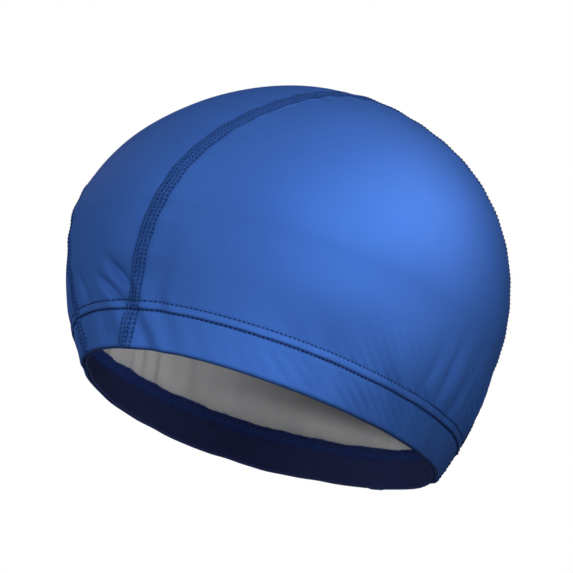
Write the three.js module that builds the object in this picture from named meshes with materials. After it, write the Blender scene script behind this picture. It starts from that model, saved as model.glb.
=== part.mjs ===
// Swim cap: a coated stretch-cloth cap of three panels with a turned hem, in the form it takes on a head.
// Sizes are in millimetres. The cap is drawn with its hem level and its front towards -Y, and then
// tipped as it is worn, about the middle of the head opening, which is the origin.

import * as THREE from 'three';
import { mergeVertices } from 'three/addons/utils/BufferGeometryUtils.js';

// Overall form
const FRONT_REACH = 99.5;       // middle to forehead at the widest level
const BACK_REACH = 88;          // middle to the back of the head at the widest level
const SIDE_REACH = 80;          // middle to the side at the widest level
const CAP_HEIGHT = 141;         // hem edge to crown
const WIDEST_HEIGHT = 56;       // hem edge to the widest level
const HEM_WAVE = 1.2;           // rise of the hem edge at the front and back, and its drop at the sides
const BACK_RISE = 1.6;          // further rise of the hem edge at the back
const WORN_TILT = 18.5;         // degrees that the front is lifted as worn

// Cloth
const CLOTH_WALL = 1.1;         // coated knit with its brushed back
const BAND_WALL = 1.0;          // facing inside the hem
const PIECE_GAP = 0.3;          // clearance between pieces

// Seams between the panels, as half widths of the middle strip
const STRIP_AT_FRONT_HEM = 14.5;
const STRIP_ABOVE_FRONT_HEM = 23;
const STRIP_BELOW_FOREHEAD = 29.6;
const STRIP_AT_FOREHEAD = 35.2;
const STRIP_BEFORE_CROWN = 40;
const STRIP_AT_CROWN = 35;
const STRIP_BEHIND_CROWN = 38;
const STRIP_AT_NAPE = 36.5;
const STRIP_AT_BACK_HEM = 20.5;
const SEAM_HALF_WIDTH = 3.4;    // flat seam, from its middle to its edge
const SEAM_EDGE = 1.1;          // slope beside the raised seam
const SEAM_RAISE = 0.45;

// Turned hem
const LOWER_STITCH_HEIGHT = 13.1;
const STITCH_GAUGE = 3;         // between the two rows of hem stitching
const STITCH_DIP_WIDTH = 1.1;
const HEM_RAISE = 0.35;         // the turned cloth stands proud of the single cloth
const STITCH_DIP = 0.3;
const BAND_ABOVE_STITCH = 2.6;  // facing edge above the upper row of stitching
const OVERLOCK_HEIGHT = 3.2;    // neatened edge along the top of the facing
const OVERLOCK_RAISE = 0.6;

// How fine the faces are
const CROWN_STEPS = 36;         // from the front over the crown to the back
const SIDE_STEPS = 15;          // from a seam to the middle of a side
const STRIP_STEPS = 6;          // across the middle strip, between its seam edges
const RISE_STEPS = 4;           // from the hem stitching to the widest level

// Level sections from the hem (-1) by the widest level (0) to the crown (1). The columns hold the reach
// as a share of the widest reach, and the squareness of the outline, where 2 is an ellipse.
const SECTIONS = [
  { level: -1.00, front: 0.800, side: 0.815, back: 0.920, squareness: 1.92 },
  { level: -0.57, front: 0.930, side: 0.965, back: 0.985, squareness: 2.00 },
  { level: 0.00, front: 1.000, side: 1.000, back: 1.000, squareness: 2.08 },
  { level: 0.25, front: 0.978, side: 1.017, back: 1.042, squareness: 2.06 },
  { level: 0.50, front: 0.935, side: 1.073, back: 1.120, squareness: 2.04 },
  { level: 0.72, front: 0.933, side: 1.143, back: 1.232, squareness: 2.02 },
  { level: 0.89, front: 1.025, side: 1.185, back: 1.285, squareness: 2.00 },
  { level: 1.00, front: 1.145, side: 1.215, back: 1.300, squareness: 2.00 },
];

// Half width of the middle strip from the front hem (-1) by the crown (0) to the back hem (1).
const STRIP_WIDTHS = [
  { along: -1.00, width: STRIP_AT_FRONT_HEM },
  { along: -0.88, width: STRIP_ABOVE_FRONT_HEM },
  { along: -0.76, width: STRIP_BELOW_FOREHEAD },
  { along: -0.65, width: STRIP_AT_FOREHEAD },
  { along: -0.37, width: STRIP_BEFORE_CROWN },
  { along: 0.00, width: STRIP_AT_CROWN },
  { along: 0.30, width: STRIP_BEHIND_CROWN },
  { along: 0.65, width: STRIP_AT_NAPE },
  { along: 1.00, width: STRIP_AT_BACK_HEM },
];

// Gathers of the hem. at: degrees round from the front towards the left side. width and depth: shares of
// the stitch height and of the cloth wall. lean: degrees that a gather turns round over the hem.
const GATHERS = [
  { at: 3, width: 0.32, depth: -0.35, lean: -6 },
  { at: 9, width: 0.32, depth: 0.20, lean: -6 },
  { at: 15.6, width: 0.30, depth: -0.70, lean: -7 },
  { at: 20, width: 0.28, depth: 0.20, lean: -6 },
  { at: 24.4, width: 0.32, depth: -0.50, lean: -6 },
  { at: 32, width: 0.34, depth: -0.25, lean: -5 },
  { at: 52, width: 0.45, depth: 0.20, lean: -7 },
  { at: 66, width: 0.42, depth: -0.20, lean: -9 },
  { at: 78.5, width: 0.42, depth: -0.30, lean: -10 },
  { at: 90, width: 0.38, depth: 0.30, lean: -11 },
  { at: 100.5, width: 0.38, depth: -0.45, lean: -12 },
  { at: 108, width: 0.36, depth: 0.30, lean: -12 },
  { at: 115, width: 0.36, depth: -0.40, lean: -12 },
  { at: 122.5, width: 0.38, depth: 0.35, lean: -12 },
  { at: 130.5, width: 0.38, depth: -0.40, lean: -12 },
  { at: 141, width: 0.40, depth: 0.40, lean: -11 },
  { at: 168, width: 0.45, depth: -0.35, lean: -4 },
  { at: 196, width: 0.45, depth: 0.25, lean: 4 },
  { at: 219, width: 0.42, depth: -0.30, lean: 9 },
  { at: 238, width: 0.40, depth: 0.25, lean: 12 },
  { at: 253, width: 0.38, depth: -0.30, lean: 12 },
  { at: 284, width: 0.42, depth: -0.25, lean: 9 },
  { at: 306, width: 0.45, depth: 0.20, lean: 6 },
  { at: 333, width: 0.38, depth: -0.35, lean: 6 },
  { at: 352, width: 0.34, depth: -0.35, lean: 5 },
];

// Drag folds in the cloth above the hem. at: degrees round, height: share of the widest height, length
// and width: shares of the same height, depth: share of the cloth wall, turn: degrees from level.
const DRAG_FOLDS = [
  { at: 9, height: 0.46, length: 0.15, width: 0.040, depth: -1.00, turn: -41 },
  { at: 4.8, height: 0.37, length: 0.15, width: 0.038, depth: -0.85, turn: -37 },
  { at: -8, height: 0.42, length: 0.14, width: 0.040, depth: -0.50, turn: -60 },
  { at: 22, height: 0.44, length: 0.30, width: 0.090, depth: -0.50, turn: 75 },
  { at: 109, height: 0.48, length: 0.18, width: 0.045, depth: -0.45, turn: 92 },
  { at: 117, height: 0.53, length: 0.22, width: 0.045, depth: -0.60, turn: 94 },
  { at: 126, height: 0.48, length: 0.22, width: 0.050, depth: -0.65, turn: 98 },
  { at: 138, height: 0.50, length: 0.24, width: 0.060, depth: -0.60, turn: 100 },
];

const DOME_RISE = CAP_HEIGHT - WIDEST_HEIGHT;
const UPPER_STITCH_HEIGHT = LOWER_STITCH_HEIGHT + STITCH_GAUGE;
const BAND_HEIGHT = UPPER_STITCH_HEIGHT + BAND_ABOVE_STITCH;
const HEART = new THREE.Vector3(0, 0, WIDEST_HEIGHT);
const QUARTER = Math.PI / 2;
const LOWEST_LEVEL = -1.1;
const SKIRT_SHARE = WIDEST_HEIGHT / (WIDEST_HEIGHT + DOME_RISE * QUARTER);

// Heights of the rows of faces over the hem, and how far the cloth is raised at each.
const HEM_ROWS = [
  { height: 0, raise: 0 },
  { height: LOWER_STITCH_HEIGHT / 2, raise: HEM_RAISE },
  { height: LOWER_STITCH_HEIGHT - STITCH_DIP_WIDTH, raise: HEM_RAISE },
  { height: LOWER_STITCH_HEIGHT, raise: HEM_RAISE - 2 * STITCH_DIP },
  { height: LOWER_STITCH_HEIGHT + STITCH_GAUGE / 2, raise: HEM_RAISE },
  { height: UPPER_STITCH_HEIGHT, raise: HEM_RAISE - STITCH_DIP },
  { height: UPPER_STITCH_HEIGHT + STITCH_DIP_WIDTH, raise: 0 },
];

// Value of one column of a table at a place, by a smooth curve through the rows.
function tableValue(table, key, column, place) {
  let row = 0;
  while (row < table.length - 2 && place > table[row + 1][key]) row += 1;
  const slope = (a, b) => (table[b][column] - table[a][column]) / (table[b][key] - table[a][key]);
  const tangent = (k) => slope(Math.max(k - 1, 0), Math.min(k + 1, table.length - 1));
  const span = table[row + 1][key] - table[row][key];
  const t = (Math.min(place, table[row + 1][key]) - table[row][key]) / span;
  const rise = table[row + 1][column] - table[row][column];
  const start = tangent(row) * span;
  const end = tangent(row + 1) * span;
  const bend = 3 * rise - 2 * start - end;
  const twist = start + end - 2 * rise;
  return table[row][column] + t * (start + t * (bend + t * twist));
}

// Horizontal reach of the cap at a level, for an angle round from the front.
function reachAt(round, level) {
  const ahead = Math.cos(round);
  const lengthways = ahead > 0
    ? FRONT_REACH * tableValue(SECTIONS, 'level', 'front', level)
    : BACK_REACH * tableValue(SECTIONS, 'level', 'back', level);
  const sideways = SIDE_REACH * tableValue(SECTIONS, 'level', 'side', level);
  const power = tableValue(SECTIONS, 'level', 'squareness', level);
  const sum = Math.abs(ahead / lengthways) ** power + Math.abs(Math.sin(round) / sideways) ** power;
  return sum ** (-1 / power) * (level > 0 ? Math.cos(level * QUARTER) : 1);
}

// Level of a height: linear below the widest level, a little past the hem too, and by the arc sine above.
function levelOf(height) {
  if (height < WIDEST_HEIGHT) return Math.max(height / WIDEST_HEIGHT - 1, LOWEST_LEVEL);
  return Math.asin(Math.min((height - WIDEST_HEIGHT) / DOME_RISE, 1)) / QUARTER;
}

// Distance from the heart of the cap to its surface along a direction, by halving.
function distanceAlong(direction) {
  const flat = Math.hypot(direction.x, direction.y);
  const round = Math.atan2(direction.x, -direction.y);
  let inside = 0;
  let outside = 2 * (FRONT_REACH + BACK_REACH + CAP_HEIGHT);
  for (let step = 0; step < 44; step += 1) {
    const middle = (inside + outside) / 2;
    const height = WIDEST_HEIGHT + middle * direction.z;
    const within = height < CAP_HEIGHT && middle * flat < reachAt(round, levelOf(height));
    if (within) inside = middle;
    else outside = middle;
  }
  return inside;
}

// Point on the dome: along is the angle from the front over the crown, across the angle to the side.
function domePoint(along, across) {
  const direction = new THREE.Vector3(
    Math.sin(across), -Math.cos(across) * Math.cos(along), Math.cos(across) * Math.sin(along));
  return direction.clone().multiplyScalar(distanceAlong(direction)).add(HEART);
}

// Point on the cap below the widest level, at a height and an angle round.
function skirtPoint(height, round) {
  const level = levelOf(height);
  const reach = reachAt(round, level);
  return new THREE.Vector3(reach * Math.sin(round), -reach * Math.cos(round), height);
}

// Outward direction of the surface at a point, from how the distance to the surface changes around it.
function outwardAt(point) {
  const nearby = 0.05;
  const share = (shifted) => {
    const ray = shifted.sub(HEART);
    const length = ray.length();
    return length / distanceAlong(ray.divideScalar(length));
  };
  const change = (x, y, z) => {
    const step = new THREE.Vector3(x, y, z).multiplyScalar(nearby);
    return share(point.clone().add(step)) - share(point.clone().sub(step));
  };
  return new THREE.Vector3(change(1, 0, 0), change(0, 1, 0), change(0, 0, 1)).normalize();
}

// Smooth hump: 1 at the middle and falling away over a width.
function hump(distance, width) {
  return Math.exp(-((distance / width) ** 2));
}

// Shortest turn between two angles in degrees.
function turnBetween(a, b) {
  return THREE.MathUtils.euclideanModulo(a - b + 180, 360) - 180;
}

// How far the gathers and drag folds move the whole cloth, outwards being positive.
function foldAt(point) {
  const round = THREE.MathUtils.radToDeg(Math.atan2(point.x, -point.y));
  const reach = Math.hypot(point.x, point.y);
  const arc = (degrees) => THREE.MathUtils.degToRad(degrees) * reach;
  const overHem = point.z / UPPER_STITCH_HEIGHT;
  const fade = 1 / (1 + (overHem / 1.35) ** 6);
  let shift = 0;
  for (const gather of GATHERS) {
    const away = arc(turnBetween(round, gather.at + gather.lean * (overHem - 0.5)));
    shift += gather.depth * CLOTH_WALL * hump(away, gather.width * LOWER_STITCH_HEIGHT) * fade;
  }
  for (const fold of DRAG_FOLDS) {
    const sideways = arc(turnBetween(round, fold.at));
    const upwards = point.z - fold.height * WIDEST_HEIGHT;
    const turn = THREE.MathUtils.degToRad(fold.turn);
    const lengthways = sideways * Math.cos(turn) + upwards * Math.sin(turn);
    const crossways = upwards * Math.cos(turn) - sideways * Math.sin(turn);
    const body = hump(lengthways, fold.length * WIDEST_HEIGHT);
    shift += fold.depth * CLOTH_WALL * body * hump(crossways, fold.width * WIDEST_HEIGHT);
  }
  return shift;
}

// Point moved out from the surface, folds included, with the hem edge's wave.
function clothPoint(point, outward, offset) {
  const moved = point.clone().addScaledVector(outward, foldAt(point) + offset);
  const round = Math.atan2(point.x, -point.y);
  const low = Math.max(1 - point.z / WIDEST_HEIGHT, 0);
  const back = Math.max(-Math.cos(round), 0) ** 4;
  moved.z += (HEM_WAVE * Math.cos(2 * round) + BACK_RISE * back) * low;
  return moved;
}

// Heights of the rows from the hem edge up to the widest level, which is left out.
function skirtHeights() {
  const heights = HEM_ROWS.map((row) => row.height);
  const start = heights[heights.length - 1];
  for (let step = 1; step < RISE_STEPS; step += 1) {
    heights.push(start + ((WIDEST_HEIGHT - start) * step) / RISE_STEPS);
  }
  return heights;
}

// Stations from the front hem over the crown to the back hem. Each has its place along the strip, from -1
// to 1, and either a height on the skirt or an angle over the dome.
function makeStations() {
  const heights = skirtHeights();
  const front = heights.map((height) => skirtStation(height, false));
  const back = heights.map((height) => skirtStation(height, true));
  const dome = [];
  for (let step = 0; step <= CROWN_STEPS; step += 1) {
    const share = step / CROWN_STEPS;
    dome.push({ angle: share * Math.PI, along: (2 * share - 1) * (1 - SKIRT_SHARE) });
  }
  return [...front, ...dome, ...back.reverse()];
}

// Angle to the side at which a station's surface lies a given distance from the middle plane.
function angleToSide(station, aside) {
  let low = 0;
  let high = QUARTER;
  for (let step = 0; step < 40; step += 1) {
    const middle = (low + high) / 2;
    if (stationPoint(station, middle).x < aside) low = middle;
    else high = middle;
  }
  return low;
}

// Surface point of a station at an angle to the left side; a negative angle is the right side.
function stationPoint(station, across) {
  if (station.angle !== undefined) return domePoint(station.angle, across);
  return skirtPoint(station.height, station.back ? Math.PI - across : across);
}

// Extra height of the cloth on the outside: the turned hem by rows, and the flat seam by its distance.
function raiseAt(station, fromSeam) {
  const row = HEM_ROWS.find((candidate) => candidate.height === station.height);
  const seam = fromSeam < SEAM_HALF_WIDTH + SEAM_EDGE / 2 ? SEAM_RAISE : 0;
  return (row ? row.raise : 0) + seam;
}

// Closed solid from a grid of outer and inner points. Opposite sides of the grid may meet, and any of
// its sides may shrink to a point: only the sides named as open get a wall between the two faces.
function solidFrom(outer, inner, openSides) {
  const rows = outer.length;
  const columns = outer[0].length;
  const corners = [];
  const quad = (a, b, c, d) => corners.push(a, b, c, a, c, d);
  for (let i = 0; i + 1 < rows; i += 1) {
    for (let j = 0; j + 1 < columns; j += 1) {
      quad(outer[i][j], outer[i][j + 1], outer[i + 1][j + 1], outer[i + 1][j]);
      quad(inner[i][j], inner[i + 1][j], inner[i + 1][j + 1], inner[i][j + 1]);
    }
  }
  const wall = (side, outerEdge, innerEdge) => {
    if (!openSides.includes(side)) return;
    for (let k = 0; k + 1 < outerEdge.length; k += 1) {
      quad(outerEdge[k], innerEdge[k], innerEdge[k + 1], outerEdge[k + 1]);
    }
  };
  const column = (grid, j) => grid.map((row) => row[j]);
  wall('first row', outer[0], inner[0]);
  wall('last row', outer[rows - 1].toReversed(), inner[rows - 1].toReversed());
  wall('first column', column(outer, 0).reverse(), column(inner, 0).reverse());
  wall('last column', column(outer, columns - 1), column(inner, columns - 1));
  const positions = corners.flatMap((corner) => [corner.x, corner.y, corner.z]);
  const geometry = new THREE.BufferGeometry();
  geometry.setAttribute('position', new THREE.Float32BufferAttribute(positions, 3));
  return withoutEmptyFaces(mergeVertices(geometry, 1e-3));
}

// The same mesh without the faces that shrank to a line or a point.
function withoutEmptyFaces(geometry) {
  const index = geometry.getIndex().array;
  const kept = [];
  for (let k = 0; k < index.length; k += 3) {
    const [a, b, c] = index.slice(k, k + 3);
    if (a !== b && b !== c && c !== a) kept.push(a, b, c);
  }
  geometry.setIndex(kept);
  geometry.computeVertexNormals();
  return geometry;
}

// Station on the skirt at any height, in front or at the back.
function skirtStation(height, back) {
  const along = -1 + (height / WIDEST_HEIGHT) * SKIRT_SHARE;
  return { height, back, along: back ? -along : along };
}

// Angle to the side of a seam's middle line at a station.
function seamAngle(station) {
  return angleToSide(station, tableValue(STRIP_WIDTHS, 'along', 'width', station.along));
}

// Angle that one millimetre takes across the surface at a station.
function anglePerMillimetre(station, across) {
  const little = 0.01;
  return little / stationPoint(station, across).distanceTo(stationPoint(station, across + little));
}

// Columns of faces beside a seam, by their distance from its middle line.
const SEAM_COLUMNS = [PIECE_GAP / 2, SEAM_HALF_WIDTH, SEAM_HALF_WIDTH + SEAM_EDGE];

// Angles and seam distances across the middle strip, from the right seam to the left one.
function stripColumns(station) {
  const seam = seamAngle(station);
  const perMillimetre = anglePerMillimetre(station, seam);
  const beside = SEAM_COLUMNS.map((fromSeam) => ({ across: seam - fromSeam * perMillimetre, fromSeam }));
  const flat = beside[beside.length - 1];
  const columns = beside.map(({ across, fromSeam }) => ({ across: -across, fromSeam }));
  for (let step = 1; step < STRIP_STEPS; step += 1) {
    columns.push({ across: flat.across * ((2 * step) / STRIP_STEPS - 1), fromSeam: flat.fromSeam });
  }
  return [...columns, ...beside.reverse()];
}

// Angles and seam distances across a side, from the seam to the middle of the side.
function sideColumns(station) {
  const seam = seamAngle(station);
  const perMillimetre = anglePerMillimetre(station, seam);
  const columns = SEAM_COLUMNS.map((fromSeam) => ({ across: seam + fromSeam * perMillimetre, fromSeam }));
  const flat = columns[columns.length - 1];
  const steps = SIDE_STEPS - columns.length + 1;
  for (let step = 1; step <= steps; step += 1) {
    const across = flat.across + ((QUARTER - flat.across) * step) / steps;
    columns.push({ across, fromSeam: flat.fromSeam });
  }
  return columns;
}

// Outer and inner points of a panel whose columns at each station are given by a function. A hand of 1
// is the left of the cap, and -1 is the right, where the columns are taken the other way round.
function panelGrids(columnsAt, hand) {
  const outer = [];
  const inner = [];
  for (const station of makeStations()) {
    const places = columnsAt(station).map(({ across, fromSeam }) => {
      const point = stationPoint(station, across);
      point.x *= hand;
      return { point, outward: outwardAt(point), raise: raiseAt(station, fromSeam) };
    });
    if (hand < 0) places.reverse();
    outer.push(places.map(({ point, outward, raise }) => clothPoint(point, outward, raise)));
    inner.push(places.map(({ point, outward }) => clothPoint(point, outward, -CLOTH_WALL)));
  }
  return { outer, inner };
}

// Middle strip from the forehead over the crown to the nape.
function makeCenterPanel() {
  const { outer, inner } = panelGrids(stripColumns, 1);
  return solidFrom(outer, inner, ['first row', 'last row', 'first column', 'last column']);
}

// One side. Its faces run round the middle of the side above the widest level, and stand in upright
// columns below it, where the front and back columns meet at the middle of the side.
function makeSidePanel(hand) {
  const { outer, inner } = panelGrids(sideColumns, hand);
  return solidFrom(outer, inner, ['first row', 'last row', hand > 0 ? 'first column' : 'last column']);
}

// Angles all the way round at a height, right behind the columns of the panels.
function bandAngles(height) {
  const front = skirtStation(height, false);
  const back = skirtStation(height, true);
  const leftOf = (columns) => columns.map(({ across }) => across).filter((across) => across > -1e-9);
  const half = [
    ...leftOf(stripColumns(front)),
    ...leftOf(sideColumns(front)),
    ...leftOf(sideColumns(back)).reverse().slice(1).map((across) => Math.PI - across),
    ...leftOf(stripColumns(back)).reverse().map((across) => Math.PI - across),
  ];
  const otherHalf = half.map((round) => 2 * Math.PI - round).reverse().slice(1);
  return [...half, ...otherHalf];
}

// Facing inside the hem, with its thicker neatened edge on top.
function makeInnerHemBand() {
  const overlockStart = BAND_HEIGHT - OVERLOCK_HEIGHT;
  const rows = [
    { height: 0, raise: 0 },
    { height: LOWER_STITCH_HEIGHT / 2, raise: 0 },
    { height: LOWER_STITCH_HEIGHT, raise: 0 },
    { height: overlockStart, raise: 0 },
    { height: overlockStart + OVERLOCK_HEIGHT / 4, raise: OVERLOCK_RAISE },
    { height: BAND_HEIGHT - OVERLOCK_HEIGHT / 4, raise: OVERLOCK_RAISE },
    { height: BAND_HEIGHT, raise: OVERLOCK_RAISE / 2 },
  ];
  const outer = [];
  const inner = [];
  for (const { height, raise } of rows) {
    const places = bandAngles(height).map((round) => {
      const point = skirtPoint(height, round);
      return { point, outward: outwardAt(point) };
    });
    const face = -CLOTH_WALL - PIECE_GAP;
    outer.push(places.map(({ point, outward }) => clothPoint(point, outward, face)));
    inner.push(places.map(({ point, outward }) => clothPoint(point, outward, face - BAND_WALL - raise)));
  }
  return solidFrom(outer, inner, ['first row', 'last row']);
}

// Mesh with its name and finish.
function namedMesh(name, geometry, material) {
  const mesh = new THREE.Mesh(geometry, material);
  mesh.name = name;
  return mesh;
}

// Finish of a cloth.
function clothFinish(color, roughness) {
  return new THREE.MeshStandardMaterial({ color, roughness, metalness: 0 });
}

const coatedCloth = () => clothFinish('#3861b4', 0.48);
const facingCloth = () => clothFinish('#1b2140', 0.85);

const cap = new THREE.Group();
cap.add(namedMesh('center_panel', makeCenterPanel(), coatedCloth()));
cap.add(namedMesh('left_side_panel', makeSidePanel(1), coatedCloth()));
cap.add(namedMesh('right_side_panel', makeSidePanel(-1), coatedCloth()));
cap.add(namedMesh('inner_hem_band', makeInnerHemBand(), facingCloth()));
cap.rotation.x = THREE.MathUtils.degToRad(-WORN_TILT);

const swimCap = new THREE.Group();
swimCap.add(cap);

export default swimCap;
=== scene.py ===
"""Swim cap of coated stretch knit: three panels, two flat seams, a turned hem and its navy facing.

The cap's surface is worked out with its hem level and its front towards -Y, in metres, and every
point is tipped as the cap is worn just before it goes into a mesh.
"""

from collections import namedtuple
from math import pi, radians

import bmesh
import bpy
import numpy as np
from bpy.props import FloatProperty, FloatVectorProperty, IntProperty, PointerProperty
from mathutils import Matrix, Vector


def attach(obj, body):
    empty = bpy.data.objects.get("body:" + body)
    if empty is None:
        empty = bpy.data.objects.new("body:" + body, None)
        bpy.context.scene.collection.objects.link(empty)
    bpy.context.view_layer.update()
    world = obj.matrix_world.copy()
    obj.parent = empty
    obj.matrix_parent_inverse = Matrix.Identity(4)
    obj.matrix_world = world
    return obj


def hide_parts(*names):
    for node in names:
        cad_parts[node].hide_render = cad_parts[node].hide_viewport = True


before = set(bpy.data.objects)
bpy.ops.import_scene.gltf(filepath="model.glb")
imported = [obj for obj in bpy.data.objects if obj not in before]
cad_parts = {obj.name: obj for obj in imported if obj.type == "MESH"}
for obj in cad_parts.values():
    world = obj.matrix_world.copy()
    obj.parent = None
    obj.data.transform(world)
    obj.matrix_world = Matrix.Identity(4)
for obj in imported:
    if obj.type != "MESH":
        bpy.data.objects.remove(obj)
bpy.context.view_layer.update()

bl_info = {
    "name": "Swim Cap",
    "version": (1, 0, 0),
    "blender": (4, 5, 0),
    "location": "View3D > Sidebar > Swim Cap",
    "description": "Builds a three-panel swim cap with flat seams, a stitched hem and a facing",
    "category": "Object",
}

BODY = "root"
MILLIMETRE = 0.001
QUARTER = pi / 2

HEM_ZONE = 0.019          # height up to which the rows of a side panel stay level
SEAM_GAP = 0.00003        # half of the gap between two panels at a seam
PANEL_LENGTH = 0.205      # along a side panel's hem, from seam to seam
PANEL_RISE = 0.15         # from a side panel's hem zone up to its seam
STRIP_WIDTH = 0.074       # across the middle strip
LIP_STEPS = 5             # rows in a rounded edge of the cloth
HEM_ROLL = 0.0009         # height over which the hem's edge rounds off
HEM_ROLL_DEPTH = 0.0007   # and how far it draws in
LINING_FOLD = 0.0018      # depth of the loose folds of the brushed back
FACING_LOW = -0.0006      # lower edge of the facing against the hem's edge
FACING_BACK_ROWS = 12
FACING_FACE_ROWS = 46
FACING_COLUMNS = 900
FACING_LIP_STEPS = 4
FIBRES = 1500             # loose fibres on the overlocked edge
FIBRE_RADIUS = 0.00014
FIBRE_LIFT = 0.0003
SWING_CUT = 0.96          # how far the turns of a swinging thread are pointed, 1 being a sharp turn
LAMP_DISTANCE = 1.4
LAMP_AIM_TOWARD = 0.05    # aims of the spots lie this far from the head opening towards the camera
ROOM_LIGHT = 0.05         # strength of the background as a light, 1 being the white that is seen

# Level sections from the hem (-1) by the widest level (0) to the crown (1): reach to the front, side and
# back as shares of the widest reach, and the squareness of the outline, where 2 is an ellipse.
Section = namedtuple("Section", "level front side back squareness")
SECTIONS = (
    Section(-1.00, 0.800, 0.815, 0.920, 1.92),
    Section(-0.57, 0.930, 0.965, 0.985, 2.00),
    Section(0.00, 1.000, 1.000, 1.000, 2.08),
    Section(0.25, 0.978, 1.017, 1.042, 2.06),
    Section(0.50, 0.935, 1.073, 1.120, 2.04),
    Section(0.72, 0.933, 1.143, 1.232, 2.02),
    Section(0.89, 1.025, 1.185, 1.285, 2.00),
    Section(1.00, 1.145, 1.215, 1.300, 2.00),
)

# Gathers of the hem. at: degrees round from the front towards the left. width: share of the lower stitch
# height. depth: share of the cloth wall. lean: degrees that a gather turns round over the hem.
Gather = namedtuple("Gather", "at width depth lean")
GATHERS = (
    Gather(3, 0.32, -0.35, -6),
    Gather(9, 0.32, 0.20, -6),
    Gather(15.6, 0.30, -0.70, -7),
    Gather(20, 0.28, 0.20, -6),
    Gather(24.4, 0.32, -0.50, -6),
    Gather(32, 0.34, -0.25, -5),
    Gather(52, 0.45, 0.20, -7),
    Gather(66, 0.42, -0.20, -9),
    Gather(78.5, 0.42, -0.30, -10),
    Gather(90, 0.38, 0.30, -11),
    Gather(100.5, 0.38, -0.45, -12),
    Gather(108, 0.36, 0.30, -12),
    Gather(115, 0.36, -0.40, -12),
    Gather(122.5, 0.38, 0.35, -12),
    Gather(130.5, 0.38, -0.40, -12),
    Gather(141, 0.40, 0.40, -11),
    Gather(168, 0.45, -0.35, -4),
    Gather(196, 0.45, 0.25, 4),
    Gather(219, 0.42, -0.30, 9),
    Gather(238, 0.40, 0.25, 12),
    Gather(253, 0.38, -0.30, 12),
    Gather(284, 0.42, -0.25, 9),
    Gather(306, 0.45, 0.20, 6),
    Gather(333, 0.38, -0.35, 6),
    Gather(352, 0.34, -0.35, 5),
)

# Drag folds above the hem. at: degrees round. height, length, width: shares of the widest height.
# depth: share of the cloth wall. turn: degrees from level.
DragFold = namedtuple("DragFold", "at height length width depth turn")
DRAG_FOLDS = (
    DragFold(9, 0.46, 0.15, 0.040, -1.00, -41),
    DragFold(4.8, 0.37, 0.15, 0.038, -0.85, -37),
    DragFold(-8, 0.42, 0.14, 0.040, -0.50, -60),
    DragFold(22, 0.44, 0.30, 0.090, -0.50, 75),
    DragFold(109, 0.48, 0.18, 0.045, -0.45, 92),
    DragFold(117, 0.53, 0.22, 0.045, -0.60, 94),
    DragFold(126, 0.48, 0.22, 0.050, -0.65, 98),
    DragFold(138, 0.50, 0.24, 0.060, -0.60, 100),
)

# Rows of stitches across a flat seam. aside: share of its half width, out from the middle strip. dash:
# length of a stitch as a share of the pitch. weight: share of the thread's radius.
SeamRow = namedtuple("SeamRow", "aside dash weight")
SEAM_ROWS = (
    SeamRow(-0.90, 0.60, 0.90),
    SeamRow(-0.34, 0.90, 1.10),
    SeamRow(0.26, 0.66, 0.95),
    SeamRow(0.86, 0.96, 1.15),
)


def length(name, description, default):
    """A size in metres that a user may change."""
    return FloatProperty(name=name, description=description, default=default, min=0.0,
                         subtype="DISTANCE", unit="LENGTH", precision=5)


def tint(name, description, default):
    """A colour that a user may change."""
    return FloatVectorProperty(name=name, description=description, default=default, size=3,
                               min=0.0, max=1.0, subtype="COLOR")


class CapForm(bpy.types.PropertyGroup):
    """Overall form of the cap as it is filled by a head"""

    front_reach: length("Front Reach", "Middle to forehead at the widest level", 0.0995)
    back_reach: length("Back Reach", "Middle to the back of the head at the widest level", 0.088)
    side_reach: length("Side Reach", "Middle to the side at the widest level", 0.080)
    cap_height: length("Height", "Hem edge to crown", 0.141)
    widest_height: length("Widest Height", "Hem edge to the widest level", 0.056)
    hem_wave: length("Hem Wave", "Rise of the hem edge at the front and back", 0.0012)
    back_rise: length("Back Rise", "Further rise of the hem edge at the back", 0.0016)
    worn_tilt: FloatProperty(name="Worn Tilt", description="How far the front is lifted as worn",
                             default=radians(18.5), subtype="ANGLE", unit="ROTATION")
    cloth_wall: length("Cloth", "Thickness of the coated knit", 0.0011)
    band_wall: length("Facing", "Thickness of the facing inside the hem", 0.0010)
    piece_gap: length("Gap", "Clearance behind the panels", 0.0003)
    fold_depth: FloatProperty(name="Fold Depth", default=2.7,
                              description="Drag folds against the depths of their table")
    gather_depth: FloatProperty(name="Gather Depth", default=1.6,
                              description="Gathers against the depths of their table")


class CapSeams(bpy.types.PropertyGroup):
    """Flat seams beside the middle strip"""

    at_front_hem: length("At Front Hem", "Half width of the middle strip", 0.0145)
    above_front_hem: length("Above Front Hem", "Half width of the middle strip", 0.0230)
    below_forehead: length("Below Forehead", "Half width of the middle strip", 0.0296)
    at_forehead: length("At Forehead", "Half width of the middle strip", 0.0352)
    before_crown: length("Before Crown", "Half width of the middle strip", 0.040)
    at_crown: length("At Crown", "Half width of the middle strip", 0.035)
    behind_crown: length("Behind Crown", "Half width of the middle strip", 0.038)
    at_nape: length("At Nape", "Half width of the middle strip", 0.0365)
    at_back_hem: length("At Back Hem", "Half width of the middle strip", 0.0205)
    half_width: length("Half Width", "Middle of a flat seam to its edge", 0.0031)
    edge: length("Edge", "Slope beside the raised seam", 0.0006)
    lift: length("Lift", "Height of the seam over the cloth", 0.00035)
    pitch: length("Stitch Pitch", "Length of one stitch", 0.00178)
    thread: length("Thread Radius", "Radius of the seam thread", 0.00034)
    pucker: length("Pucker", "Depth of the scallops beside a seam", 0.00021)
    pucker_pitch: length("Pucker Pitch", "Length of one scallop", 0.0128)


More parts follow.
